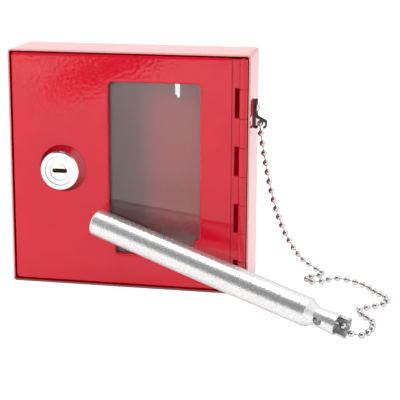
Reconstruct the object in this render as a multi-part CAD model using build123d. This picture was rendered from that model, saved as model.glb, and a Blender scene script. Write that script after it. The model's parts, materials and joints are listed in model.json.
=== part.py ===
from build123d import *
import math
import os

# Break glass key box: a red sheet-steel wall box with a glazed hinged door, a cam lock,
# and a turned metal hammer on a bead chain that is clipped to the box's right side.
# Millimetres. X is right, Y is into the box (the wall side), Z is up.
# The origin is the centre of the case's bottom face.

# ---- driving dimensions -------------------------------------------------------------
case_width = 150.0
case_height = 148.0
case_depth = 42.0
case_gauge = 1.0            # sheet steel of the case
case_corner_radius = 2.0    # where two side walls meet
case_back_bend = 1.5        # outer bend between the back and the walls
corner_relief = 2.3         # notch left where three bends meet at a rear corner

wall_hole_diameter = 5.0
wall_hole_pitch_x = 110.0
wall_hole_pitch_z = 110.0

door_gauge = 1.0
door_gap = 0.9              # between the door and the case walls, all round
door_flange_depth = 8.0
door_bend = 1.5
door_corner_radius = 2.5
door_hinge_setback = 11.0   # from the case's right side to the door sheet's right edge
hinge_side_x = 56.5         # the door's top and bottom flanges stop here

window_lock_margin = 63.0   # from the case's left side to the window
window_hinge_margin = 30.0
window_top_margin = 18.5
window_bottom_margin = 32.2
window_corner_radius = 3.0
window_foot_inset = 4.0     # the window is this much narrower on each side near its bottom
window_foot_drop = 10.7     # how far that narrower foot reaches below the rest
window_foot_radius = 2.0
window_turn_radius = 1.6    # where the foot's sides turn out to the full width
window_shoulder_radius = 2.3
window_lip_depth = 3.5      # how far the window's turned-in lip reaches behind the door face
window_lip_bend = 1.2

glass_thickness = 2.0
glass_overlap = 5.0         # beyond the window opening, on each side
glass_clearance = 0.1
rail_gauge = 0.8
rail_foot = 4.6
rail_lip = 3.4
rail_bend = 0.8
rail_end_gap = 1.0          # between the side rails and the bottom rail
stop_clip_width = 12.0
stop_clip_foot = 7.0
stud_diameter = 3.0
stud_height = 5.0
stud_nut_flats = 5.5
stud_nut_height = 2.4

hinge_barrel_diameter = 5.0
hinge_gauge = 1.0
hinge_pin_diameter = 2.8
hinge_wall_gap = 0.4        # between the barrel and the plane of the case wall's inner face
hinge_knuckles = 8
hinge_knuckle_length = 17.75
hinge_knuckle_gap = 0.2
hinge_bottom_gap = 3.6      # from the case's bottom face to the lowest knuckle
hinge_leaf_width = 14.0
hinge_notch_depth = 2.8     # clearance cut in a leaf beside the other leaf's knuckle
hinge_pin_overrun = 0.4
case_leaf_depth = 12.0

lock_from_side = 34.0
lock_above_middle = 0.7
bezel_base_diameter = 29.4
bezel_face_diameter = 23.6
bezel_height = 8.0
bezel_chamfer = 0.5
housing_head_diameter = 18.0
housing_head_recess = 0.5
barrel_diameter = 18.5
barrel_flats = 16.0
barrel_length = 10.5        # behind the door face
plug_diameter = 12.0
plug_ring_diameter = 8.0
plug_ring_depth = 0.4
keyway_width = 9.6
keyway_height = 2.7
keyway_depth = 14.0
lock_clearance = 0.1
wafer_count = 3
wafer_gauge = 0.7
wafer_pitch = 2.4
wafer_window = 6.4
lock_washer_gauge = 0.8
lock_washer_diameter = 24.0
lock_nut_flats = 24.0
lock_nut_height = 3.5
cam_gauge = 2.0
cam_width = 14.0
cam_reach = 25.0            # from the lock's axis to the cam's tip
cam_hub_diameter = 17.0
tang_side = 7.0
cam_gap = 0.2
cam_screw_diameter = 4.0
cam_screw_length = 8.0
cam_screw_flats = 7.0
cam_screw_head = 2.8
cam_washer_diameter = 11.0
cam_washer_gauge = 0.8

strike_height = 33.0
strike_reach = 16.0         # from the left wall towards the lock
strike_leg = 10.7
door_stop_gap = 0.3

hook_from_side = 51.8
hook_from_top = 34.4        # down to the bottom edge of the lanced slot in the back
hook_width = 3.0
hook_slot_width = 3.2
hook_slot_height = 12.4
hook_reach = 9.0
hook_tip = 2.6
hook_bend = 1.2

clip_y = -1.0
clip_from_top = 29.4
clip_width = 6.0
clip_gauge = 0.8
clip_fold_gap = 0.3         # between the strap's two layers where it is folded
clip_height = 17.6
clip_closed_height = 10.6
clip_mouth = 6.2            # inside width of the opened loop
clip_rivet_diameter = 3.2
clip_rivet_head = 5.2
clip_rivet_head_height = 1.4
clip_rivet_head_top = 3.0
clip_rivet_below_top = 5.3

bead_diameter = 3.9
bead_pitch = 6.4
bead_link_diameter = 1.0
bead_sides = 8
bead_bands = 4              # flat bands from hole to hole of a bead
bead_hole_angle = 60.0      # of the ball's round, from its middle to its hole
bead_link_sides = 6
bead_link_gap = 0.02        # a link ends this far from the next bead
first_bead_out = 3.9        # from the case's side to the centre of the bead that the clip holds
first_bead_drop = 14.8      # from the clip's top to that centre
chain_route_gap = 0.2       # between that bead's link and the free chain

rod_diameter = 17.0
rod_length = 146.0
rod_end_round = 1.4
shoulder_length = 5.0
neck_diameter = 11.0        # at the shoulder's small end; the neck flares from there
neck_bore = 8.6             # at its blind end; the bore flares as the neck does
neck_mouth_diameter = 13.0  # at the tongue's end
neck_length = 13.0          # from the shoulder's small end to the cut-back rim
neck_tongue_length = 6.0    # the far half of the neck goes on past that rim
cross_pin_diameter = 5.3
cross_pin_clearance = 0.02
cross_pin_recess = 0.8
cross_pin_from_shoulder = 3.0
neck_beads = 2              # pitches from the cross pin out to the bead the hammer pivots on
neck_bead_offset = 2.0      # the beads lie against the far side of the bore
neck_bore_end_gap = 1.0     # wall left between the bore's blind end and the shoulder

hammer_yaw = 19.3           # degrees that the rod turns towards the door
hammer_rise = 12.7          # degrees that the rod slopes up to its far end
hammer_pivot_out = 61.4     # from the case's side to the chain's last bead, in the neck's mouth
lean_gap = 0.3              # between the rod's far end and the door it leans on

# The chain's route on the bead centres, from the clip down to the floor and round to the
# hammer's neck. X counts from the case's right side, and the hanging stretch gives its
# heights as shares of the drop from the clip.
chain_hanging = [
    (5.6, -0.9, 0.895),
    (8.2, 1.7, 0.735),
    (12.0, 5.6, 0.537),
    (18.0, 11.8, 0.328),
    (27.5, 21.3, 0.129),
]
chain_on_floor = [
    (38.0, 32.0),
    (44.0, 24.5),
    (40.6, 18.4),
    (33.4, 15.2),
    (34.2, 6.8),
    (41.8, 5.4),
    (46.4, 12.2),
    (53.0, 17.2),
    (63.0, 12.0),
    (71.5, 4.6),
    (77.0, -6.0),
    (85.4, -16.6),
    (83.4, -27.4),
    (73.6, -34.2),
    (67.2, -41.0),
    (72.0, -50.2),
    (76.6, -55.8),
    (77.8, -64.4),
    (76.4, -73.2),
]
chain_rising = [(72.6, -80.6, 3.4)]
mouth_run = 5.0             # straight stretch where the chain leaves the neck

# ---- derived places -----------------------------------------------------------------
front_y = -case_depth / 2
back_y = case_depth / 2
left_x = -case_width / 2
right_x = case_width / 2
inner_left_x = left_x + case_gauge
inner_right_x = right_x - case_gauge
inner_back_y = back_y - case_gauge

door_left = inner_left_x + door_gap
door_right = right_x - door_hinge_setback
door_bottom = case_gauge + door_gap
door_top = case_height - case_gauge - door_gap
door_inner_y = front_y + door_gauge

window_left = left_x + window_lock_margin
window_right = right_x - window_hinge_margin
window_bottom = window_bottom_margin
window_foot_bottom = window_bottom - window_foot_drop
window_top = case_height - window_top_margin
window_centre_x = (window_left + window_right) / 2
glass_left = window_left - glass_overlap
glass_right = window_right + glass_overlap
glass_bottom = window_foot_bottom - glass_overlap
glass_top = window_top + glass_overlap
glass_front_y = front_y + window_lip_depth + glass_clearance
glass_back_y = glass_front_y + glass_thickness

barrel_radius = hinge_barrel_diameter / 2
hinge_x = inner_right_x - hinge_wall_gap - barrel_radius
hinge_y = door_inner_y + hinge_gauge - barrel_radius
hinge_bore = hinge_barrel_diameter - 2 * hinge_gauge
hinge_height = hinge_knuckles * hinge_knuckle_length
hinge_top = hinge_bottom_gap + hinge_height

lock_x = left_x + lock_from_side
lock_z = case_height / 2 + lock_above_middle
bezel_face_y = front_y - bezel_height
barrel_end_y = front_y + barrel_length
cam_front_y = barrel_end_y + cam_gap
cam_back_y = cam_front_y + cam_gauge
flange_end_y = front_y + door_flange_depth
strike_front_y = flange_end_y + door_stop_gap

hook_x = right_x - hook_from_side
hook_z = case_height - hook_from_top
clip_top = case_height - clip_from_top
clip_bottom = clip_top - clip_height

bead_radius = bead_diameter / 2
first_bead_x = right_x + first_bead_out
first_bead_z = clip_top - first_bead_drop
chain_start_z = first_bead_z - bead_pitch / 2

rod_radius = rod_diameter / 2
neck_radius = neck_diameter / 2
neck_mouth_radius = neck_mouth_diameter / 2
yaw = math.radians(hammer_yaw)
rise = math.radians(hammer_rise)
hammer_axis = Vector(-math.cos(rise) * math.cos(yaw), math.cos(rise) * math.sin(yaw), math.sin(rise))
hammer_level = Vector(math.sin(yaw), math.cos(yaw), 0)
pivot_to_pin = neck_beads * bead_pitch
pivot_to_small_end = pivot_to_pin + cross_pin_from_shoulder
pivot_to_shoulder = pivot_to_small_end + shoulder_length
pivot_to_far_end = pivot_to_shoulder + rod_length
pivot_to_rim = pivot_to_small_end - neck_length
pivot_to_tongue = pivot_to_rim - neck_tongue_length
# The neck's lowest rim stands on the floor, and the far end's rim leans on the door.
pivot_z = neck_mouth_radius * math.cos(rise) - pivot_to_tongue * math.sin(rise)
far_end_y = front_y - lean_gap - rod_radius * math.sqrt(1 - hammer_axis.Y**2)
pivot_y = far_end_y - pivot_to_far_end * hammer_axis.Y + neck_bead_offset * hammer_level.Y
pivot = Vector(right_x + hammer_pivot_out, pivot_y, pivot_z)


# ---- helpers ------------------------------------------------------------------------
def block(x0, x1, y0, y1, z0, z1):
    """A box between two corners."""
    return Pos((x0 + x1) / 2, (y0 + y1) / 2, (z0 + z1) / 2) * Box(x1 - x0, y1 - y0, z1 - z0)


def facing(y):
    """The plane at y that faces the front, with X to the right and Z up."""
    return Plane(origin=(0, y, 0), x_dir=(1, 0, 0), z_dir=(0, -1, 0))


def slab(outline, y0, y1):
    """An outline in X and Z, made solid from y0 to y1."""
    return extrude(facing(y1) * outline, amount=y1 - y0)


def panel(x0, x1, z0, z1, radius=0.0):
    """A rectangle in X and Z with rounded corners."""
    place = Pos((x0 + x1) / 2, (z0 + z1) / 2)
    if radius > 0:
        return place * RectangleRounded(x1 - x0, z1 - z0, radius)
    return place * Rectangle(x1 - x0, z1 - z0)


def disc(x, z, diameter, y0, y1):
    """A round bar along Y."""
    return slab(Pos(x, z) * Circle(diameter / 2), y0, y1)


def bent_strip(points, bends, gauge, plane, width):
    """Sheet of one gauge, bent along its centreline, as wide as asked across the plane."""
    runs = [Vector(*b) - Vector(*a) for a, b in zip(points, points[1:])]
    normals = [Vector(-run.Y, run.X) / run.length for run in runs]
    turns = [math.copysign(1, a.X * b.Y - a.Y * b.X) for a, b in zip(runs, runs[1:])]
    if not isinstance(bends, list):
        bends = [bends] * len(turns)
    sides = []
    for half in (gauge / 2, -gauge / 2):
        corners = [Vector(*points[0]) + normals[0] * half]
        for point, a, b in zip(points[1:], normals, normals[1:]):
            corners.append(Vector(*point) + (a + b) * (half / (1 + a.dot(b))))
        corners.append(Vector(*points[-1]) + normals[-1] * half)
        radii = [bend - turn * half for bend, turn in zip(bends, turns)]
        sides.append(FilletPolyline(*corners, radius=radii))
    left, right = sides
    outline = [left, Line(left @ 1, right @ 1), right, Line(right @ 0, left @ 0)]
    return extrude(plane * make_face(outline), amount=width / 2, both=True)


# ---- the case -----------------------------------------------------------------------
def make_case_shell():
    """Back and four walls of one sheet, with a key hook lanced out of the back."""
    outer = panel(left_x, right_x, 0, case_height, case_corner_radius)
    inner = panel(
        inner_left_x,
        inner_right_x,
        case_gauge,
        case_height - case_gauge,
        case_corner_radius - case_gauge,
    )
    shell = slab(outer, front_y, back_y)
    shell = fillet(shell.faces().sort_by(Axis.Y)[-1].outer_wire().edges(), case_back_bend)
    shell -= slab(inner, front_y - 1, inner_back_y)
    for x in (left_x, right_x):
        for z in (0, case_height):
            shell -= disc(x, z, 2 * corner_relief, back_y - corner_relief, back_y + 1)
    for x in (-wall_hole_pitch_x / 2, wall_hole_pitch_x / 2):
        for z in (case_height / 2 - wall_hole_pitch_z / 2, case_height / 2 + wall_hole_pitch_z / 2):
            shell -= disc(x, z, wall_hole_diameter, inner_back_y - 1, back_y + 1)
    slot = panel(
        hook_x - hook_slot_width / 2,
        hook_x + hook_slot_width / 2,
        hook_z,
        hook_z + hook_slot_height,
        hook_slot_width / 2 - 0.01,
    )
    shell -= slab(slot, inner_back_y - 1, back_y + 1)
    shell -= rivet_hole(right_x - 2 * case_gauge, right_x + case_gauge)
    return shell + make_hook()


def make_hook():
    """The tongue that the slot leaves, turned forward and up at its tip."""
    sheet_y = back_y - case_gauge / 2
    root_z = hook_z + case_gauge / 2
    points = [
        (sheet_y, hook_z - 2 * case_gauge),
        (sheet_y, root_z),
        (sheet_y - hook_reach, root_z + case_gauge),
        (sheet_y - hook_reach - case_gauge, root_z + case_gauge + hook_tip),
    ]
    plane = Plane(origin=(hook_x, 0, 0), x_dir=(0, 1, 0), z_dir=(1, 0, 0))
    return bent_strip(points, hook_bend, case_gauge, plane, hook_width)


def rivet_hole(x0, x1):
    """The hole for the chain clip's rivet, along X."""
    place = Plane(origin=(x0, clip_y, clip_top - clip_rivet_below_top), z_dir=(1, 0, 0))
    return extrude(place * Circle(clip_rivet_diameter / 2), amount=x1 - x0)


def knuckle_spans(first):
    """The heights of every second knuckle, counted down from the top."""
    for i in range(first, hinge_knuckles, 2):
        top = hinge_top - i * hinge_knuckle_length
        yield top - hinge_knuckle_length + hinge_knuckle_gap / 2, top - hinge_knuckle_gap / 2


def knuckle_ring():
    """A rolled knuckle's section, in X and Y."""
    return Pos(hinge_x, hinge_y) * (Circle(barrel_radius) - Circle(hinge_bore / 2))


def section(outline, z0, z1):
    """An outline in X and Y, made solid from z0 to z1."""
    return extrude(Pos(0, 0, z0) * outline, amount=z1 - z0)


def strip_section(x0, x1, y0, y1):
    """A rectangle in X and Y."""
    return Pos((x0 + x1) / 2, (y0 + y1) / 2) * Rectangle(x1 - x0, y1 - y0)


def make_case_hinge_leaf():
    """The leaf on the right wall, stepped inward to its four knuckles."""
    outer_x = hinge_x + barrel_radius
    step_y = hinge_y + barrel_radius
    weld_y = step_y + hinge_wall_gap + hinge_gauge
    neck = Polyline(
        (outer_x, hinge_y),
        (outer_x, step_y),
        (inner_right_x, weld_y),
        (inner_right_x, weld_y + hinge_gauge),
        (inner_right_x - hinge_gauge, weld_y + hinge_gauge),
        (inner_right_x - hinge_gauge, weld_y),
        (outer_x - hinge_gauge, step_y),
        (outer_x - hinge_gauge, hinge_y),
        close=True,
    )
    bore = Pos(hinge_x, hinge_y) * Circle(hinge_bore / 2)
    leaf = section(
        strip_section(inner_right_x - hinge_gauge, inner_right_x, weld_y, weld_y + case_leaf_depth),
        hinge_bottom_gap,
        hinge_top,
    )
    for low, high in knuckle_spans(1):
        leaf += section(knuckle_ring() + make_face(neck) - bore, low, high)
    return leaf


def make_hinge_pin():
    length = hinge_height + 2 * hinge_pin_overrun
    pin = Cylinder(hinge_pin_diameter / 2, length)
    pin = chamfer(pin.edges().filter_by(GeomType.CIRCLE), hinge_pin_diameter / 8)
    return Pos(hinge_x, hinge_y, hinge_bottom_gap + hinge_height / 2) * pin


def make_lock_strike():
    """The angle that the cam turns behind; its front leg also stops the door."""
    plane = Plane(origin=(0, 0, lock_z), x_dir=(1, 0, 0), z_dir=(0, 0, 1))
    leg_x = inner_left_x + case_gauge / 2
    leg_y = strike_front_y + case_gauge / 2
    points = [(leg_x, leg_y + strike_leg), (leg_x, leg_y), (inner_left_x + strike_reach, leg_y)]
    return bent_strip(points, case_gauge, case_gauge, plane, strike_height)


# ---- the chain clip, on the right wall ------------------------------------------------
def make_chain_clip():
    """A strap folded double at the top and opened below into a loop round the first bead."""
    half = clip_gauge / 2
    near_x = right_x + half
    far_x = near_x + clip_gauge + clip_fold_gap
    shoulder_z = clip_top - clip_closed_height
    loop_x = right_x + clip_mouth + clip_gauge + half
    points = [
        (near_x + clip_mouth * 0.32, clip_bottom + half),
        (near_x, clip_bottom + half),
        (near_x, clip_top - half),
        (far_x, clip_top - half),
        (far_x, shoulder_z),
        (loop_x, clip_bottom + bead_diameter),
        (loop_x, clip_bottom + half),
        (loop_x - clip_mouth * 0.26, clip_bottom + half),
    ]
    fold = 0.49 * (far_x - near_x)
    bends = [0.6, fold, fold, 2.0, 1.2, 0.6]
    plane = Plane(origin=(0, clip_y, 0), x_dir=(1, 0, 0), z_dir=(0, -1, 0))
    clip = bent_strip(points, bends, clip_gauge, plane, clip_width)
    return clip - rivet_hole(right_x - 1, right_x + 3 * clip_gauge)


def make_clip_rivet():
    """Shank through wall and strap, a coned head outside and a flat set head inside."""
    outer = right_x + 2 * clip_gauge + clip_fold_gap
    inner = inner_right_x
    shank = rivet_hole(inner - clip_gauge, outer + clip_gauge)
    place = Plane(origin=(outer, clip_y, clip_top - clip_rivet_below_top), z_dir=(1, 0, 0))
    cone = Cone(clip_rivet_head / 2, clip_rivet_head_top / 2, clip_rivet_head_height)
    head = place.location * Pos(0, 0, clip_rivet_head_height / 2) * cone
    tail = extrude(place.offset(inner - outer) * Circle(clip_rivet_head / 2), amount=-clip_gauge)
    return shank + head + tail


# ---- the door -------------------------------------------------------------------------
def make_door_panel():
    """A shallow pan, open on the hinge side, with a window whose lip is turned inward."""
    blank = panel(door_left, door_right, door_bottom, door_top)
    blank = fillet(blank.vertices().group_by(Axis.X)[0], door_corner_radius)
    pan = slab(blank, front_y, flange_end_y)
    face = pan.faces().sort_by(Axis.Y)[0]
    hinge_side = face.edges().sort_by(Axis.X)[-1]
    pan = fillet([e for e in face.outer_wire().edges() if e != hinge_side], door_bend)
    inside = panel(
        door_left + door_gauge,
        door_right + 2 * door_corner_radius,
        door_bottom + door_gauge,
        door_top - door_gauge,
        door_corner_radius - door_gauge,
    )
    pan -= slab(inside, door_inner_y, flange_end_y + 1)
    pan -= block(hinge_side_x, door_right + 1, door_inner_y, flange_end_y + 1, 0, case_height)
    pan += slab(window_outline(door_gauge), front_y, front_y + window_lip_depth)
    pan -= slab(window_outline(), front_y - 1, front_y + window_lip_depth + 1)
    front = pan.faces().filter_by(Axis.Y).sort_by(Axis.Y)[0]
    pan = fillet(front.inner_wires()[0].edges(), window_lip_bend)
    pan -= slab(double_d(lock_clearance), front_y - 1, door_inner_y + 1)
    return pan


def window_outline(extra=0.0):
    """The window with its narrower foot, grown by extra all round."""
    right = [
        (window_right + extra, window_top + extra, window_corner_radius + extra),
        (window_right + extra, window_bottom - extra, window_shoulder_radius + extra),
        (window_right - window_foot_inset + extra, window_bottom - extra, window_turn_radius - extra),
        (window_right - window_foot_inset + extra, window_foot_bottom - extra, window_foot_radius + extra),
    ]
    left = [(2 * window_centre_x - x, z, radius) for x, z, radius in reversed(right)]
    corners = right + left
    line = FilletPolyline(*[(x, z) for x, z, _ in corners], radius=[radius for _, _, radius in corners], close=True)
    return make_face(line)


def double_d(extra):
    """The lock barrel's outline: round, with a flat above and below."""
    round_part = Circle(barrel_diameter / 2 + extra)
    flats = Rectangle(2 * barrel_diameter, barrel_flats + 2 * extra)
    return Pos(lock_x, lock_z) * (round_part & flats)


def make_door_hinge_leaf():
    """The leaf behind the door sheet, with four rolled knuckles and notches between them."""
    leaf_y = (door_inner_y, door_inner_y + hinge_gauge)
    notch_x = hinge_x - barrel_radius - hinge_notch_depth
    leaf_left = hinge_x - barrel_radius - hinge_leaf_width + hinge_notch_depth
    leaf = section(strip_section(leaf_left, notch_x, *leaf_y), hinge_bottom_gap, hinge_top)
    bore = Pos(hinge_x, hinge_y) * Circle(hinge_bore / 2)
    for low, high in knuckle_spans(0):
        leaf += section(knuckle_ring() + strip_section(notch_x, hinge_x, *leaf_y) - bore, low, high)
    return leaf


def make_glass_pane():
    return slab(panel(glass_left, glass_right, glass_bottom, glass_top), glass_front_y, glass_back_y)


def rail_points(edge, side):
    """A rail's section across the glass edge: foot on the door, web, and lip behind the glass."""
    foot_y = door_inner_y + rail_gauge / 2
    lip_y = glass_back_y + glass_clearance + rail_gauge / 2
    web = edge + side * (2 * glass_clearance + rail_gauge / 2)
    return [(web + side * rail_foot, foot_y), (web, foot_y), (web, lip_y), (web - side * rail_lip, lip_y)]


def make_side_rail(edge, side):
    """An upright rail at the glass's left (-1) or right (1) edge."""
    low = glass_bottom + rail_end_gap
    plane = Plane(origin=(0, 0, (low + glass_top) / 2), x_dir=(1, 0, 0), z_dir=(0, 0, 1))
    return bent_strip(rail_points(edge, side), rail_bend, rail_gauge, plane, glass_top - low)


def make_level_rail(edge, side, length):
    """A level rail below (-1) or above (1) the glass, at the window's middle."""
    points = [(y, z) for z, y in rail_points(edge, side)]
    plane = Plane(origin=(window_centre_x, 0, 0), x_dir=(0, 1, 0), z_dir=(1, 0, 0))
    return bent_strip(points, rail_bend, rail_gauge, plane, length)


def stud_place():
    return window_centre_x, glass_top + 2 * glass_clearance + rail_gauge + stop_clip_foot / 2


def make_glass_stop_clip():
    """The short clip above the glass; its nut comes off to let a new pane in."""
    x, z = stud_place()
    clip = make_level_rail(glass_top, 1, stop_clip_width)
    low = z - stop_clip_foot / 2 + rail_foot / 2
    foot = block(
        x - stop_clip_width / 2,
        x + stop_clip_width / 2,
        door_inner_y,
        door_inner_y + rail_gauge,
        low,
        z + stop_clip_foot / 2 - rail_gauge,
    )
    return clip + foot - disc(x, z, stud_diameter + 2 * lock_clearance, door_inner_y - 1, glass_back_y)


def make_stop_clip_stud():
    return disc(*stud_place(), stud_diameter, door_inner_y, door_inner_y + stud_height)


def make_stop_clip_nut():
    x, z = stud_place()
    low_y = door_inner_y + rail_gauge
    nut = slab(Pos(x, z) * RegularPolygon(stud_nut_flats / math.sqrt(3), 6), low_y, low_y + stud_nut_height)
    return nut - disc(x, z, stud_diameter, low_y - 1, low_y + stud_nut_height + 1)


# ---- the cam lock -----------------------------------------------------------------------
def make_lock_bezel():
    """The bright cone round the lock's head."""
    bore = housing_head_diameter / 2 + lock_clearance
    outline = Polyline(
        (bore, 0),
        (bezel_base_diameter / 2, 0),
        (bezel_face_diameter / 2, bezel_height),
        (bore, bezel_height),
        close=True,
    )
    profile = make_face(outline)
    rim = profile.vertices().group_by(Axis.Y)[-1].sort_by(Axis.X)[-1]
    profile = chamfer(rim, bezel_chamfer)
    ring = revolve(Plane.XZ * profile, Axis.Z)
    return Pos(lock_x, front_y, lock_z) * Rot(90, 0, 0) * ring


def make_lock_housing():
    """Head disc and flatted barrel, bored for the plug."""
    head = disc(lock_x, lock_z, housing_head_diameter, bezel_face_y + housing_head_recess, front_y)
    barrel = slab(double_d(0), front_y, barrel_end_y)
    bore = disc(lock_x, lock_z, plug_diameter + 2 * lock_clearance, bezel_face_y, barrel_end_y + 1)
    return head + barrel - bore


def make_lock_washer():
    end_y = door_inner_y + lock_washer_gauge
    return disc(lock_x, lock_z, lock_washer_diameter, door_inner_y, end_y) - slab(
        double_d(lock_clearance), door_inner_y - 1, end_y + 1
    )


def make_lock_nut():
    low_y = door_inner_y + lock_washer_gauge
    hexagon = Pos(lock_x, lock_z) * RegularPolygon(lock_nut_flats / math.sqrt(3), 6)
    nut = slab(hexagon, low_y, low_y + lock_nut_height)
    return nut - disc(lock_x, lock_z, barrel_diameter + 2 * lock_clearance, low_y - 1, low_y + lock_nut_height + 1)


def keyway(extra=0.0):
    """The level key slot in the plug's face."""
    return Pos(lock_x, lock_z) * SlotOverall(keyway_width + 2 * extra, keyway_height + 2 * extra)


def make_lock_plug():
    """The turning core: a faced cylinder with the keyway, and a square tang for the cam."""
    face_y = bezel_face_y + housing_head_recess
    core = disc(lock_x, lock_z, plug_diameter, face_y, barrel_end_y)
    tang = slab(Pos(lock_x, lock_z) * Rectangle(tang_side, tang_side), barrel_end_y, cam_back_y)
    ring = Circle(plug_diameter / 2 + 1) - Circle(plug_ring_diameter / 2)
    core -= slab(Pos(lock_x, lock_z) * ring, face_y, face_y + plug_ring_depth)
    core -= slab(keyway(), face_y - 1, face_y + keyway_depth)
    core += tang
    return core - disc(lock_x, lock_z, cam_screw_diameter, cam_back_y - cam_screw_length, cam_back_y + 1)


def make_lock_wafers():
    """Thin plates across the keyway, each with its own key window."""
    first_y = bezel_face_y + housing_head_recess + wafer_pitch
    plate = keyway(-lock_clearance)
    window = Pos(lock_x, lock_z) * Rectangle(wafer_window, keyway_height / 3)
    plates = []
    for i in range(wafer_count):
        y = first_y + i * wafer_pitch
        plates.append(slab(plate - window, y, y + wafer_gauge))
    return Compound(children=plates)


def make_lock_cam():
    """The arm, hanging down here and swung behind the strike when it locks."""
    hub = Circle(cam_hub_diameter / 2)
    arm_length = cam_reach - cam_width / 2
    arm = Pos(0, -arm_length / 2) * Rectangle(cam_width, arm_length)
    tip = Pos(0, -arm_length) * Circle(cam_width / 2)
    hole = Rectangle(tang_side + 2 * lock_clearance, tang_side + 2 * lock_clearance)
    return slab(Pos(lock_x, lock_z) * (hub + arm + tip - hole), cam_front_y, cam_back_y)


def make_cam_washer():
    end_y = cam_back_y + cam_washer_gauge
    ring = Circle(cam_washer_diameter / 2) - Circle(cam_screw_diameter / 2 + lock_clearance)
    return slab(Pos(lock_x, lock_z) * ring, cam_back_y, end_y)


def make_cam_screw():
    seat_y = cam_back_y + cam_washer_gauge
    head = Pos(lock_x, lock_z) * RegularPolygon(cam_screw_flats / math.sqrt(3), 6)
    shank = disc(lock_x, lock_z, cam_screw_diameter - 2 * lock_clearance, cam_back_y - cam_screw_length + cam_gap, seat_y)
    return slab(head, seat_y, seat_y + cam_screw_head) + shank


# ---- the hammer and its chain -------------------------------------------------------------
def along_hammer(offset=0.0):
    """The plane at the pivot bead whose normal runs up the rod; X is level, away from the front."""
    return Plane(origin=pivot + hammer_level * offset, x_dir=hammer_level, z_dir=hammer_axis)


def turned_round(radius, end, size, cuts=3):
    """The round at a bar's end as short cones, from the side to the end face."""
    angles = [math.radians(90 * i / cuts) for i in range(cuts + 1)]
    return [(radius - size + size * math.cos(a), end - size + size * math.sin(a)) for a in angles]


def make_hammer_rod():
    """A turned bar: striking end, conical shoulder, bored neck whose near half is cut back."""
    bore_end = pivot_to_small_end - neck_bore_end_gap
    outline = Polyline(
        (0, bore_end),
        (neck_bore / 2, bore_end),
        (neck_bore / 2 + neck_mouth_radius - neck_radius, pivot_to_tongue),
        (neck_mouth_radius, pivot_to_tongue),
        (neck_radius, pivot_to_small_end),
        (rod_radius, pivot_to_shoulder),
        *turned_round(rod_radius, pivot_to_far_end, rod_end_round),
        (0, pivot_to_far_end),
        close=True,
    )
    bar = revolve(Plane.XZ * make_face(outline), Axis.Z)
    bar -= Pos(0, 0, pivot_to_pin) * Rot(0, 90, 0) * Cylinder(cross_pin_diameter / 2 + cross_pin_clearance, 2 * neck_diameter)
    cut = 2 * neck_diameter
    bar -= Pos(-neck_diameter, 0, pivot_to_rim - cut / 2) * Box(cut, cut, cut)
    return along_hammer(-neck_bead_offset).location * bar


def make_neck_cross_pin():
    """The pin through the neck that the chain's end is riveted to."""
    length = neck_diameter - 2 * cross_pin_recess
    pin = Pos(0, 0, pivot_to_pin) * Rot(0, 90, 0) * Cylinder(cross_pin_diameter / 2, length)
    return along_hammer(-neck_bead_offset).location * pin


def make_neck_bead():
    """The bead inside the neck, with its links to the cross pin and towards the pivot bead."""
    links = bead_link(bead_radius + bead_link_gap, pivot_to_pin - cross_pin_diameter / 2)
    return along_hammer().location * (Pos(0, 0, pivot_to_pin - bead_pitch) * bead() + links)


def make_clip_bead():
    """The chain's first bead, held in the clip, with the link that leaves between its lips."""
    link = bead_link(chain_route_gap - bead_pitch / 2, 0)
    return Pos(first_bead_x, clip_y, first_bead_z) * (bead() + link)


def bead():
    """A bead as a ball of flat sides, cut off square where the links leave it."""
    rings = []
    for i in range(bead_bands + 1):
        angle = math.radians(bead_hole_angle * (2 * i / bead_bands - 1))
        radius, height = bead_radius * math.cos(angle), bead_radius * math.sin(angle)
        turns = [2 * math.pi * j / bead_sides for j in range(bead_sides + 1)]
        rings.append([(radius * math.cos(turn), radius * math.sin(turn), height) for turn in turns])
    flats = [Polyline(*rings[0]), Polyline(*rings[-1])]
    for low, high in zip(rings, rings[1:]):
        for j in range(bead_sides):
            flats.append(Polyline(low[j], low[j + 1], high[j + 1], high[j], close=True))
    return Solid(Shell([make_face(flat).face() for flat in flats]))


def bead_link(z0, z1):
    """The straight pin between two beads, along Z."""
    return extrude(Pos(0, 0, z0) * RegularPolygon(bead_link_diameter / 2, bead_link_sides), amount=z1 - z0)


def chain_points():
    hanging = [(right_x + x, y, share * chain_start_z) for x, y, share in chain_hanging]
    floor = [(right_x + x, y, bead_radius) for x, y in chain_on_floor]
    rising = [(right_x + x, y, z) for x, y, z in chain_rising]
    end = pivot - hammer_axis * (bead_pitch / 2)
    start = (first_bead_x, clip_y, chain_start_z)
    return [start] + hanging + floor + rising + [tuple(end - hammer_axis * mouth_run), tuple(end)]


def chain_radii(points):
    """Each corner's arc is 0.45 of its shorter run over the tangent of half its turn."""
    radii = []
    for a, b, c in zip(points, points[1:], points[2:]):
        run_in = Vector(*b) - Vector(*a)
        run_out = Vector(*c) - Vector(*b)
        half_turn = math.radians(run_in.get_angle(run_out)) / 2
        radii.append(0.45 * min(run_in.length, run_out.length) / math.tan(half_turn))
    return radii


def make_bead_chain():
    """The free beads, evenly spaced along the route, joined by straight links."""
    points = chain_points()
    radii = chain_radii(points)
    route = FilletPolyline(*points, radius=radii)
    count = round(route.length / bead_pitch)
    shares = [(i + 0.5) / count for i in range(count)]
    centres = [route @ 0] + [route @ share for share in shares] + [route @ 1]
    ball = bead()
    pieces = []
    for share in shares:
        pieces.append(Plane(origin=route @ share, z_dir=route % share).location * ball)
    for a, b in zip(centres, centres[1:]):
        pieces.append(Plane(origin=a, z_dir=b - a).location * bead_link(0, (b - a).length))
    print("route radii", [round(r, 1) for r in radii])
    print("route length", round(route.length, 1), "beads", count, "pitch", round(route.length / count, 2))
    return pieces[0].fuse(*pieces[1:])


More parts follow.
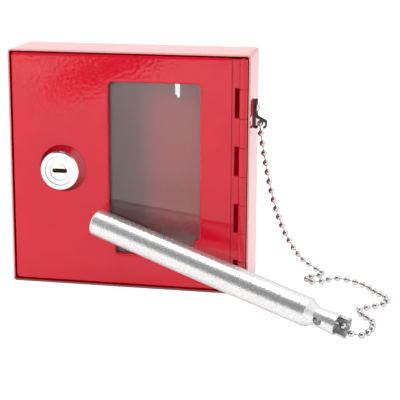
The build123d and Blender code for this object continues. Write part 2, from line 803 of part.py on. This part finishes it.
def make_chain_end_bead():
    return Plane(origin=pivot, z_dir=hammer_axis).location * bead()


NODES = {
    "case_shell": make_case_shell,
    "case_hinge_leaf": make_case_hinge_leaf,
    "hinge_pin": make_hinge_pin,
    "lock_strike": make_lock_strike,
    "chain_clip": make_chain_clip,
    "clip_rivet": make_clip_rivet,
    "clip_bead": make_clip_bead,
    "bead_chain": make_bead_chain,
    "door_panel": make_door_panel,
    "door_hinge_leaf": make_door_hinge_leaf,
    "glass_pane": make_glass_pane,
    "glass_rail_left": lambda: make_side_rail(glass_left, -1),
    "glass_rail_right": lambda: make_side_rail(glass_right, 1),
    "glass_rail_bottom": lambda: make_level_rail(glass_bottom, -1, window_right - window_left),
    "glass_stop_clip": make_glass_stop_clip,
    "stop_clip_stud": make_stop_clip_stud,
    "stop_clip_nut": make_stop_clip_nut,
    "lock_housing": make_lock_housing,
    "lock_bezel": make_lock_bezel,
    "lock_washer": make_lock_washer,
    "lock_nut": make_lock_nut,
    "lock_plug": make_lock_plug,
    "lock_wafers": make_lock_wafers,
    "lock_cam": make_lock_cam,
    "cam_washer": make_cam_washer,
    "cam_screw": make_cam_screw,
    "hammer_rod": make_hammer_rod,
    "neck_cross_pin": make_neck_cross_pin,
    "neck_bead": make_neck_bead,
    "chain_end_bead": make_chain_end_bead,
}

os.makedirs("parts", exist_ok=True)
for name, make in NODES.items():
    export_step(make(), f"parts/{name}.step")
print("hinge axis", round(hinge_x, 3), round(hinge_y, 3))
print("hammer pivot", [round(v, 3) for v in pivot], "axis", [round(v, 4) for v in hammer_axis])
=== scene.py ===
import json
import math

import bmesh
import bpy
from mathutils import Matrix, Vector


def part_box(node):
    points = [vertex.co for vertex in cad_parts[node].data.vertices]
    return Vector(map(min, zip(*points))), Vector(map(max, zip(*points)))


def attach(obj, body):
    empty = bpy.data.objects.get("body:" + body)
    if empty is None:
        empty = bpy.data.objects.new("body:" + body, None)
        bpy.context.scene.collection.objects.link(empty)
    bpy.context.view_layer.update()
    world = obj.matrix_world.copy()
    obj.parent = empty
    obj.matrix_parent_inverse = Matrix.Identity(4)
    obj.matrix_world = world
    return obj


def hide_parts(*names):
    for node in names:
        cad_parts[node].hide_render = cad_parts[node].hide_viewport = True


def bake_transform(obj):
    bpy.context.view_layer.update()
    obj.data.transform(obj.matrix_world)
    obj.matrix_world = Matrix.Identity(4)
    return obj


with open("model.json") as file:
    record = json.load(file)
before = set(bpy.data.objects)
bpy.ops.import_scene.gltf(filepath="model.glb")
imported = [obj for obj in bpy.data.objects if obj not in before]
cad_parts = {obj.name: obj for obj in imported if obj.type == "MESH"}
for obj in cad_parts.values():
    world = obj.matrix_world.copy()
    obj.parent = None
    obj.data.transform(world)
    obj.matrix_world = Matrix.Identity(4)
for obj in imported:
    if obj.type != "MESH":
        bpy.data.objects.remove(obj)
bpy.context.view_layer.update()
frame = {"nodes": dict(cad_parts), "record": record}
nodes = frame["nodes"]
MM = 0.001

# ---- the camera, at the photograph's viewing angle -----------------------------------
camera_place = Vector((160.83, -685.67, 234.94)) * MM
yaw, pitch, roll = (math.radians(angle) for angle in (-10.3755, -11.8451, 0.2351))
forward = Vector(
    (math.sin(yaw) * math.cos(pitch), math.cos(yaw) * math.cos(pitch), math.sin(pitch))
)
level = Vector((math.cos(yaw), -math.sin(yaw), 0))
upright = level.cross(forward)
right = math.cos(roll) * level + math.sin(roll) * upright
up = -math.sin(roll) * level + math.cos(roll) * upright
camera_data = bpy.data.cameras.new("camera")
camera_data.sensor_width = 36
camera_data.lens = 102.979
camera_data.shift_x = 0.0238
camera_data.shift_y = -0.14
camera = bpy.data.objects.new("camera", camera_data)
bpy.context.scene.collection.objects.link(camera)
camera_turn = Matrix((right, up, -forward)).transposed().to_4x4()
camera.matrix_world = Matrix.Translation(camera_place) @ camera_turn
bpy.context.scene.camera = camera


# ---- shader nodes --------------------------------------------------------------------
def new_material(name, **values):
    """A Principled material; each value goes on the socket of that name."""
    material = bpy.data.materials.new(name)
    material.use_nodes = True
    tree = material.node_tree
    shader = tree.nodes["Principled BSDF"]
    for key, value in values.items():
        shader.inputs[key.replace("_", " ")].default_value = value
    return material, tree, shader


def connect(tree, shader, **sources):
    """Link each source to the shader's socket of that name."""
    for key, source in sources.items():
        tree.links.new(source, shader.inputs[key.replace("_", " ")])


def node(tree, kind, inputs=(), **settings):
    """A node with its settings, and with a number, a colour or a link on each of its inputs."""
    made = tree.nodes.new(kind)
    for key, value in settings.items():
        setattr(made, key, value)
    for key, value in dict(inputs).items():
        if isinstance(value, bpy.types.NodeSocket):
            tree.links.new(value, made.inputs[key])
        else:
            made.inputs[key].default_value = value
    return made


def object_point(tree):
    """Each point's place in the part's own frame, in metres."""
    return node(tree, "ShaderNodeTexCoord").outputs["Object"]


def mapping(tree, point, **transform):
    """The point after a Location, Rotation or Scale."""
    return node(tree, "ShaderNodeMapping", {"Vector": point, **transform}).outputs["Vector"]


def noise(tree, point, scale, detail=2.0, roughness=0.5):
    inputs = {"Vector": point, "Scale": scale, "Detail": detail, "Roughness": roughness}
    return node(tree, "ShaderNodeTexNoise", inputs).outputs["Fac"]


def ramp(tree, value, stops):
    """A colour ramp with (place, colour) stops; a number stands for a grey."""
    made = node(tree, "ShaderNodeValToRGB", {"Fac": value})
    band = made.color_ramp
    while len(band.elements) < len(stops):
        band.elements.new(0.5)
    for element, (place, colour) in zip(band.elements, stops):
        grey = isinstance(colour, (int, float))
        element.position = place
        element.color = (colour, colour, colour, 1) if grey else (*colour, 1)
    return made.outputs["Color"]


def map_range(tree, value, before, after, interpolation="LINEAR"):
    """The value moved from the range before to the range after, and held to its ends."""
    made = node(tree, "ShaderNodeMapRange", {"Value": value}, interpolation_type=interpolation)
    for key, end in zip(("From Min", "From Max", "To Min", "To Max"), (*before, *after)):
        made.inputs[key].default_value = end
    return made.outputs["Result"]


def maths(tree, operation, *values):
    """A Math node on numbers or sockets."""
    made = node(tree, "ShaderNodeMath", dict(enumerate(values)), operation=operation)
    return made.outputs["Value"]


def mix_numbers(tree, factor, a, b):
    """Number a where factor is 0, and b where it is 1."""
    inputs = {"Factor": factor, "A": a, "B": b}
    return node(tree, "ShaderNodeMix", inputs, data_type="FLOAT").outputs["Result"]


def mix_colours(tree, factor, a, b, blend="MIX"):
    """Colour a mixed or blended with colour b. The node's colours are inputs 6 and 7."""
    inputs = {0: factor, 6: a, 7: b}
    return node(tree, "ShaderNodeMix", inputs, data_type="RGBA", blend_type=blend).outputs[2]


def bump(tree, height, distance, normal=None):
    inputs = {"Height": height, "Distance": distance}
    if normal is not None:
        inputs["Normal"] = normal
    return node(tree, "ShaderNodeBump", inputs).outputs["Normal"]


def round_edges(tree, normal, radius, samples=4):
    """The normal with sharp edges shaded as if they were rounded."""
    inputs = {"Normal": normal, "Radius": radius}
    return node(tree, "ShaderNodeBevel", inputs, samples=samples).outputs["Normal"]


# ---- materials -----------------------------------------------------------------------
def powder_coat(name="red_powder_coat", cut_edge=None):
    """Glossy red powder coat: a little orange peel, slight unevenness of colour and gloss.

    In front of the plane y = cut_edge the sheet's cut edge gets a pale painted highlight,
    and painted dark shade low down.
    """
    material, tree, shader = new_material(
        name, IOR=1.42, Coat_Weight=0.2, Coat_Roughness=0.06, Coat_IOR=1.4
    )
    point = object_point(tree)
    deep_red, bright_red = (0.60, 0.0020, 0.0180), (0.66, 0.0032, 0.0230)
    patches = noise(tree, point, 45, detail=3)
    colour = ramp(tree, patches, [(0.3, deep_red), (0.7, bright_red)])
    if cut_edge is not None:
        place = node(tree, "ShaderNodeSeparateXYZ", {"Vector": point}).outputs
        on_edge = maths(tree, "LESS_THAN", place["Y"], cut_edge)
        height = map_range(tree, place["Z"], (0, 0.01), (0, 1))
        # Painted light on the front cut edge: painted dark shade below 1 mm, a pale painted
        # highlight above 3 mm
        painted_shade_low, painted_highlight_pale = (0.20, 0.10, 0.09), (0.85, 0.34, 0.32)
        painted_edge_light = ramp(tree, height, [(0.1, painted_shade_low), (0.3, painted_highlight_pale)])
        colour = mix_colours(tree, on_edge, colour, painted_edge_light)
    rough = ramp(tree, noise(tree, point, 160, detail=3), [(0.3, 0.05), (0.75, 0.10)])
    peel = bump(tree, noise(tree, point, 420, detail=1.5, roughness=0.45), 6.5e-5)
    swell = bump(tree, noise(tree, point, 70, detail=1), 6e-5, peel)
    rounded = round_edges(tree, swell, 0.8 * MM, samples=6)
    connect(tree, shader, Base_Color=colour, Roughness=rough, Normal=rounded)
    return material


def turned_aluminium(axis):
    """Bright turned bar: fine rings round its axis, broken into specks by the metal's grain."""
    material, tree, shader = new_material(
        "turned_aluminium", Metallic=0.78, Specular_Tint=(0.6, 0.6, 0.6, 1)
    )
    point = object_point(tree)
    axis_to_z = axis.normalized().to_track_quat("Z", "Y").inverted().to_euler()
    along_axis = mapping(tree, point, Rotation=axis_to_z)
    squeezed = mapping(tree, along_axis, Scale=(250, 250, 2600))
    rings = noise(tree, squeezed, 1, detail=3, roughness=0.6)
    specks = noise(tree, point, 950, detail=2.5, roughness=0.65)
    colour = ramp(tree, specks, [(0.35, 0.64), (0.65, 0.78)])
    grain = noise(tree, point, 700, detail=3, roughness=0.7)
    rough = ramp(tree, grain, [(0.3, 0.20), (0.7, 0.32)])
    surface = bump(tree, specks, 1.15e-4, bump(tree, rings, 1.2e-5))
    rounded = round_edges(tree, surface, 0.4 * MM)
    connect(tree, shader, Base_Color=colour, Roughness=rough, Normal=rounded)
    return material


def plated(name, colour, smooth, rough, scale=400, relief=4e-6, rim=0.5, dull=0.86):
    """Plated metal, whose roughness varies from smooth to rough over patches of its surface.

    relief is the height of its bumps, rim its tint at a glancing angle, and dull how bright
    its darkest patches are.
    """
    material, tree, shader = new_material(
        name, Metallic=1.0, Specular_Tint=(rim, rim, rim, 1)
    )
    point = object_point(tree)
    patches = noise(tree, point, scale, detail=3, roughness=0.6)
    dull_colour = tuple(dull * c for c in colour)
    bumps = bump(tree, noise(tree, point, scale * 3), relief)
    connect(
        tree,
        shader,
        Base_Color=ramp(tree, patches, [(0.3, dull_colour), (0.7, colour)]),
        Roughness=ramp(tree, patches, [(0.3, rough), (0.7, smooth)]),
        Normal=round_edges(tree, bumps, 0.15 * MM),
    )
    return material


def paint_dark_edge_reflection(material):
    """Paint a dark reflection onto strip steel along its edges, which face front and back."""
    tree = material.node_tree
    shader = tree.nodes["Principled BSDF"]
    bright = shader.inputs["Base Color"].links[0].from_socket
    normal = node(tree, "ShaderNodeTexCoord").outputs["Normal"]
    across = node(tree, "ShaderNodeSeparateXYZ", {"Vector": normal}).outputs["Y"]
    # Painted dark reflection: edges facing front and back are multiplied down to a tenth
    shade = ramp(tree, maths(tree, "ABSOLUTE", across), [(0.35, 1.0), (0.7, 0.10)])
    connect(tree, shader, Base_Color=mix_colours(tree, 1.0, bright, shade, "MULTIPLY"))


def chrome_painted_shade():
    """Chrome with painted shade: its colour darkens where it lies deep in a narrow slot."""
    material, tree, shader = new_material("chrome_painted_shade", Metallic=1.0)
    point = object_point(tree)
    # Painted shade: ambient occlusion darkens the base colour deep in the slot
    reach = {"Distance": 4 * MM}
    openness = node(tree, "ShaderNodeAmbientOcclusion", reach, samples=8).outputs["AO"]
    connect(
        tree,
        shader,
        Base_Color=ramp(tree, openness, [(0.25, 0.01), (0.8, 0.80)]),
        Roughness=ramp(tree, noise(tree, point, 900, detail=3), [(0.3, 0.10), (0.7, 0.22)]),
        Normal=bump(tree, noise(tree, point, 1600), 4e-6),
    )
    return material


def float_glass():
    """A slightly grey, barely uneven pane. Light that makes shadows passes straight through."""
    tint = (0.66, 0.67, 0.67, 1)
    material, tree, shader = new_material(
        "float_glass", Transmission_Weight=0.94, IOR=1.46, Base_Color=tint
    )
    point = object_point(tree)
    connect(
        tree,
        shader,
        Roughness=ramp(tree, noise(tree, point, 60), [(0.3, 0.0), (0.8, 0.02)]),
        Normal=bump(tree, noise(tree, point, 12, detail=1), 8e-6),
    )
    clear = node(tree, "ShaderNodeBsdfTransparent", {"Color": tint}).outputs["BSDF"]
    shadow = node(tree, "ShaderNodeLightPath").outputs["Is Shadow Ray"]
    inputs = {"Fac": shadow, 1: shader.outputs["BSDF"], 2: clear}
    mixed = node(tree, "ShaderNodeMixShader", inputs).outputs["Shader"]
    connect(tree, tree.nodes["Material Output"], Surface=mixed)
    return material


hammer_axis = Vector((-0.9207, 0.3224, 0.2198))  # from the neck towards the far end
paint = powder_coat()
case_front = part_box("case_shell")[0][1]
case_paint = powder_coat("case_powder_coat", cut_edge=case_front + 0.2 * MM)
chrome = plated("chrome_plate", (0.74, 0.74, 0.75), 0.03, 0.09, rim=0.3)
nickel = plated("nickel_plate", (0.66, 0.655, 0.65), 0.05, 0.14, rim=0.0)
clip_steel = plated("dark_nickel", (0.62, 0.60, 0.58), 0.10, 0.24, rim=0.0)
# The clip's front- and back-facing edges get a painted dark reflection.
paint_dark_edge_reflection(clip_steel)
# Painted shade: the cross pin is dark grey with black patches, for the shade inside the neck's
# cross hole.
pin_steel_painted_shade = plated(
    "steel_painted_shade", (0.42, 0.41, 0.40), 0.20, 0.40, scale=520, rim=0.1, dull=0.0
)
# Painted shade: the lock wafers' brass is made almost black for the shade deep in the keyway.
brass_painted_shade = plated("brass_painted_dark", (0.16, 0.10, 0.03), 0.20, 0.40)
zinc = plated("zinc_plate", (0.66, 0.67, 0.69), 0.22, 0.40, scale=250, relief=8e-6)
brass = plated("brass", (0.82, 0.58, 0.22), 0.12, 0.25)
slot_materials = {
    "red_paint": paint,
    "bright_steel": zinc,
    "nickel": nickel,
    "chrome_plate": chrome,
    "brass": brass,
    "clear_glass": float_glass(),
    "turned_aluminium": turned_aluminium(hammer_axis),
}
node_materials = {
    "case_shell": case_paint,
    "hinge_pin": paint,
    "lock_plug": chrome_painted_shade(),
    "neck_cross_pin": pin_steel_painted_shade,
    "chain_clip": clip_steel,
    "lock_wafers": brass_painted_shade,
}
for part in frame["record"]["subparts"]:
    material = node_materials.get(part["node"], slot_materials[part["material_slot"]])
    mesh = nodes[part["node"]].data
    mesh.materials.clear()
    mesh.materials.append(material)

# ---- the bead chain ------------------------------------------------------------------
BEAD = 3.9 * MM
PITCH = 6.4 * MM
PIN = 1.0 * MM  # the links' diameter
HOLE = 0.62 * MM  # radius of the hole at each end of a bead
LIP = 0.25 * MM  # how far a bead's sheet turns in at its holes
PIN_INSET = 0.2 * MM  # how far the last link reaches into the bead in the neck's mouth
chain_points = [
    (78.9, -1.0, 100.6),
    (80.6, -0.9, 90.0),
    (83.2, 1.7, 73.9),
    (87.0, 5.6, 54.0),
    (93.0, 11.8, 33.0),
    (102.5, 21.3, 13.0),
    (113.0, 32.0, 1.95),
    (119.0, 24.5, 1.95),
    (115.6, 18.4, 1.95),
    (108.4, 15.2, 1.95),
    (109.2, 6.8, 1.95),
    (116.8, 5.4, 1.95),
    (121.4, 12.2, 1.95),
    (128.0, 17.2, 1.95),
    (138.0, 12.0, 1.95),
    (146.5, 4.6, 1.95),
    (152.0, -6.0, 1.95),
    (160.4, -16.6, 1.95),
    (158.4, -27.4, 1.95),
    (148.6, -34.2, 1.95),
    (142.2, -41.0, 1.95),
    (147.0, -50.2, 1.95),
    (151.6, -55.8, 1.95),
    (152.8, -64.4, 1.95),
    (151.4, -73.2, 1.95),
    (148.0, -80.4, 2.08),
    (142.4, -83.6, 1.68),
    (138.72, -82.05, 5.0),
]
held_bead, held_link_end = (78.9, -1.0, 103.8), (78.9, -1.0, 100.8)
hammer_pivot = Vector((136.4, -81.239, 7.044))
inner_distance = 6.4  # from the pivot up the neck's bore to the bead inside it
inner_link = (2.0, 10.1)  # and to the ends of that bead's links


def chain_line():
    """Points along the smooth line that the chain follows."""
    curve = bpy.data.curves.new("chain_line", "CURVE")
    curve.dimensions = "3D"
    curve.resolution_u = 24
    spline = curve.splines.new("NURBS")
    spline.points.add(len(chain_points) - 1)
    for point, place in zip(spline.points, chain_points):
        point.co = (*(Vector(place) * MM), 1)
    spline.order_u = 3
    spline.use_endpoint_u = True
    guide = bpy.data.objects.new("chain_line", curve)
    bpy.context.scene.collection.objects.link(guide)
    bpy.context.view_layer.update()
    line = [v.co.copy() for v in bpy.data.meshes.new_from_object(guide).vertices]
    bpy.data.objects.remove(guide)
    return line


def along(line, distances):
    """The place and direction at each distance along a line of points."""
    found, walked, i = [], 0.0, 0
    for distance in distances:
        while i < len(line) - 2 and walked + (line[i + 1] - line[i]).length < distance:
            walked += (line[i + 1] - line[i]).length
            i += 1
        step = line[i + 1] - line[i]
        found.append((line[i] + step * ((distance - walked) / step.length), step.normalized()))
    return found


def facing(place, direction):
    """Moves the origin to place, and turns Z to direction."""
    return Matrix.Translation(place) @ direction.to_track_quat("Z", "Y").to_matrix().to_4x4()


def lathe(bm, profile, segments, place):
    """A turned closed form from (radius, height) pairs, put in place."""
    angles = [2 * math.pi * k / segments for k in range(segments)]
    rings = []
    for radius, height in profile:
        points = [(radius * math.cos(a), radius * math.sin(a), height) for a in angles]
        rings.append([bm.verts.new(place @ Vector(point)) for point in points])
    for low, high in zip(rings, rings[1:]):
        for k in range(segments):
            after = (k + 1) % segments
            bm.faces.new((low[k], low[after], high[after], high[k])).smooth = True
    bm.faces.new(list(reversed(rings[0])))
    bm.faces.new(rings[-1])


def bead_profile():
    """A rolled ball whose sheet turns in at the hole at each end."""
    arc = [math.radians(angle) for angle in range(-68, 69, 8)]
    ball = [(BEAD / 2 * math.cos(a), BEAD / 2 * math.sin(a)) for a in arc]
    bottom, top = ball[0][1], ball[-1][1]
    return [(HOLE, bottom + LIP), (HOLE, bottom), *ball, (HOLE, top), (HOLE, top - LIP)]


def pin_between(bm, a, b, segments):
    lathe(bm, [(PIN / 2, 0), (PIN / 2, (b - a).length)], segments, facing(a, b - a))


def finish_mesh(bm, name, material, replaced):
    bmesh.ops.recalc_face_normals(bm, faces=bm.faces)
    mesh = bpy.data.meshes.new(name)
    bm.to_mesh(mesh)
    bm.free()
    mesh.materials.append(material)
    made = bpy.data.objects.new(name, mesh)
    bpy.context.scene.collection.objects.link(made)
    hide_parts(replaced)
    return made


line = chain_line()
length = sum((b - a).length for a, b in zip(line, line[1:]))
count = round(length / PITCH)
pitch = length / count
spots = along(line, [(i + 0.5) * pitch for i in range(count)])
bm = bmesh.new()
for place, direction in spots:
    lathe(bm, bead_profile(), segments=20, place=facing(place, direction))
before_last, last = spots[-2][0], spots[-1][0]
to_pivot = hammer_pivot * MM - last
to_pivot -= to_pivot.normalized() * (BEAD / 2 - PIN_INSET)
link_ends = [line[0], *(place for place, _ in spots), last + to_pivot]
for a, b in zip(link_ends, link_ends[1:]):
    pin_between(bm, a, b, segments=10)
chain = finish_mesh(bm, "chain_beads", nickel, "bead_chain")
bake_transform(chain)


def single_bead(name, centre, direction, body, replaced, link=None):
    """One finer bead in place of a CAD one, with the link through it."""
    made = bmesh.new()
    place = facing(Vector(centre) * MM, Vector(direction))
    lathe(made, bead_profile(), segments=28, place=place)
    if link is not None:
        a, b = (Vector(end) * MM for end in link)
        pin_between(made, a, b, segments=12)
    bead = finish_mesh(made, name, nickel, replaced)
    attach(bead, body)


def up_the_bore(distance):
    return hammer_pivot + hammer_axis * distance


single_bead(
    "held_bead", held_bead, (0, 0, 1), "case", "clip_bead", (held_bead, held_link_end)
)
single_bead("pivot_bead", hammer_pivot, hammer_axis, "chain_end", "chain_end_bead")
single_bead(
    "inner_bead",
    up_the_bore(inner_distance),
    hammer_axis,
    "hammer",
    "neck_bead",
    [up_the_bore(end) for end in inner_link],
)

# ---- the floor -----------------------------------------------------------------------
floor_corners = [(-3, -1.3), (3, -1.3), (3, 3), (-3, 3)]
floor_z = -0.2 * MM
floor_white = 0.86
seen_glow, mirrored_glow = 0.6, 0.5  # its own light, straight to the camera and in mirrors
# A dark spot lies on the floor in front of the object, and only shows mirrored in its gloss.
# Its edge fades out between these shares of its half width and depth.
spot_centre, spot_size, spot_edge = (-0.26, -1.0), (0.06, 0.30), (0.6, 1.3)
spot_black = 0.01
bm = bmesh.new()
bm.faces.new([bm.verts.new((x, y, floor_z)) for x, y in floor_corners])
floor_mesh = bpy.data.meshes.new("floor")
bm.to_mesh(floor_mesh)
bm.free()
floor_material, tree, shader = new_material(
    "white_table", Roughness=0.6, Emission_Color=(1, 1, 1, 1)
)
rays = node(tree, "ShaderNodeLightPath").outputs
from_spot = mapping(
    tree,
    object_point(tree),
    Location=(-spot_centre[0] / spot_size[0], -spot_centre[1] / spot_size[1], 0),
    Scale=(1 / spot_size[0], 1 / spot_size[1], 1),
)
away = node(tree, "ShaderNodeVectorMath", {0: from_spot}, operation="LENGTH").outputs["Value"]
in_spot = map_range(tree, away, spot_edge, (1, 0), "SMOOTHSTEP")
mirrored_spot = maths(tree, "MULTIPLY", rays["Is Glossy Ray"], in_spot)
glow_round_spot = maths(tree, "MULTIPLY_ADD", in_spot, -mirrored_glow, mirrored_glow)
unseen_glow = mix_numbers(tree, rays["Is Glossy Ray"], 0.0, glow_round_spot)
connect(
    tree,
    shader,
    Base_Color=ramp(tree, mirrored_spot, [(0.0, floor_white), (1.0, spot_black)]),
    Emission_Strength=mix_numbers(tree, rays["Is Camera Ray"], unseen_glow, seen_glow),
)
floor_mesh.materials.append(floor_material)
floor = bpy.data.objects.new("floor", floor_mesh)
bpy.context.scene.collection.objects.link(floor)

# ---- the surroundings ----------------------------------------------------------------
seen_strength, diffuse_strength, mirrored_strength = 1.0, 0.65, 1.25
# Mirrors and glass show a round dark patch in front and above, whose edge fades out over
# these angles from its middle.
patch_towards = Vector((-0.15, -0.88, 0.44)).normalized()
patch_edge = [math.cos(math.radians(angle)) for angle in (46, 36)]
patch_strength = 0.10
world = bpy.data.worlds.new("studio")
world.use_nodes = True
bpy.context.scene.world = world
tree = world.node_tree
background = tree.nodes["Background"]
background.inputs["Color"].default_value = (1, 1, 1, 1)
ray_towards = node(tree, "ShaderNodeTexCoord").outputs["Generated"]
inputs = {0: ray_towards, 1: patch_towards}
nearness = node(tree, "ShaderNodeVectorMath", inputs, operation="DOT_PRODUCT").outputs["Value"]
strengths = (mirrored_strength, patch_strength)
strength = map_range(tree, nearness, patch_edge, strengths, "SMOOTHSTEP")
rays = node(tree, "ShaderNodeLightPath").outputs
strength = mix_numbers(tree, rays["Is Diffuse Ray"], strength, diffuse_strength)
strength = mix_numbers(tree, rays["Is Camera Ray"], strength, seen_strength)
connect(tree, background, Strength=strength)

# ---- lights --------------------------------------------------------------------------
aim = Vector((0, 0, 0.07))
key_turn, key_rise = math.radians(20.2), math.radians(18)
key_towards = Vector(
    (
        -math.sin(key_turn) * math.cos(key_rise),
        -math.cos(key_turn) * math.cos(key_rise),
        math.sin(key_rise),
    )
)


def area_light(name, towards, distance, size, watts):
    """A square light, aimed at the object's middle from a direction."""
    data = bpy.data.lights.new(name, "AREA")
    data.shape = "SQUARE"
    data.size = size
    data.energy = watts
    light = bpy.data.objects.new(name, data)
    bpy.context.scene.collection.objects.link(light)
    place = aim + towards.normalized() * distance
    light.matrix_world = facing(place, place - aim)
    return light


key = area_light("key", key_towards, distance=1.3, size=0.03, watts=6.0)
key.visible_glossy = False
area_light("top", Vector((-0.1, 0, 1)), distance=1.2, size=0.5, watts=3.9)

bpy.context.scene.view_settings.view_transform = "Standard"
